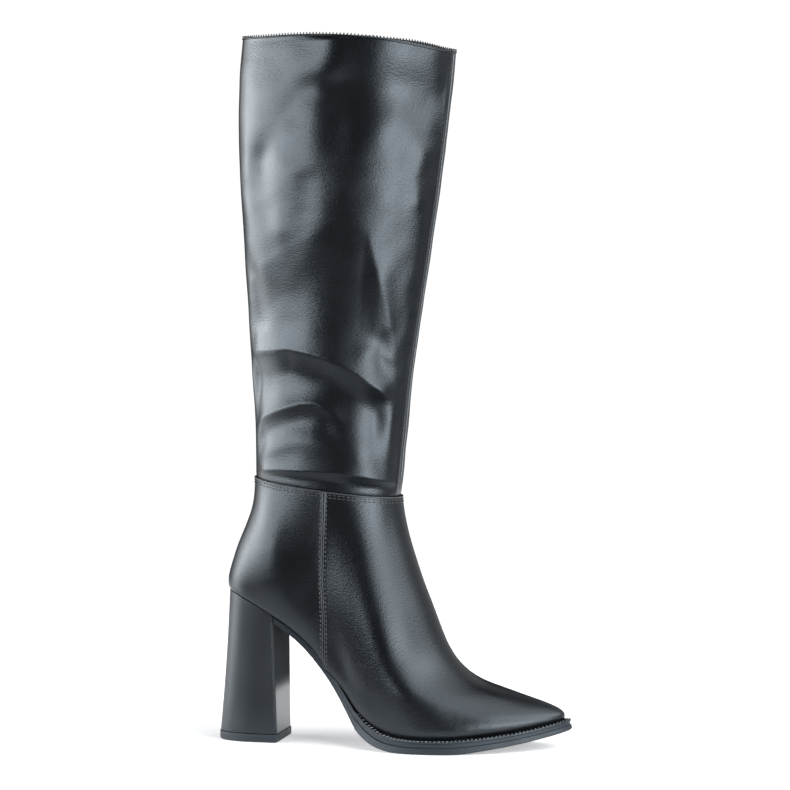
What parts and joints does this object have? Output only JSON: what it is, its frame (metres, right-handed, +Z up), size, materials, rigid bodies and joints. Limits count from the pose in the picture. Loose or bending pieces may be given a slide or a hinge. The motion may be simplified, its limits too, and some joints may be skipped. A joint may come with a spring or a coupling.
{
  "type": "knee-high boot",
  "caption": "Right knee-high boot with a pointed toe, a seamed ankle, a stitched welt, a rubber sole and a tall covered block heel.",
  "frame": {"origin": "on the floor, under the middle of the boot's box", "axes": "+Z up, +X towards the toe, -Y towards the outer side of the leg"},
  "size_m": [0.2426, 0.0908, 0.4768],
  "materials": {
    "foot_leather": "smooth black leather, soft gloss",
    "leg_leather": "smooth black leather, soft gloss, softly creased",
    "sock": "matte lining leather",
    "sole_rubber": "matte dark grey rubber",
    "welt": "satin dark grey, stitched",
    "heel_cover": "satin black leather over a block",
    "lift_rubber": "matte dark grey rubber"
  },
  "bodies": {
    "root": {"upper": "foot_leather", "shaft": "leg_leather", "insole": "sock", "outsole": "sole_rubber", "welt": "welt", "heel": "heel_cover", "top_lift": "lift_rubber"}
  },
  "joints": []
}
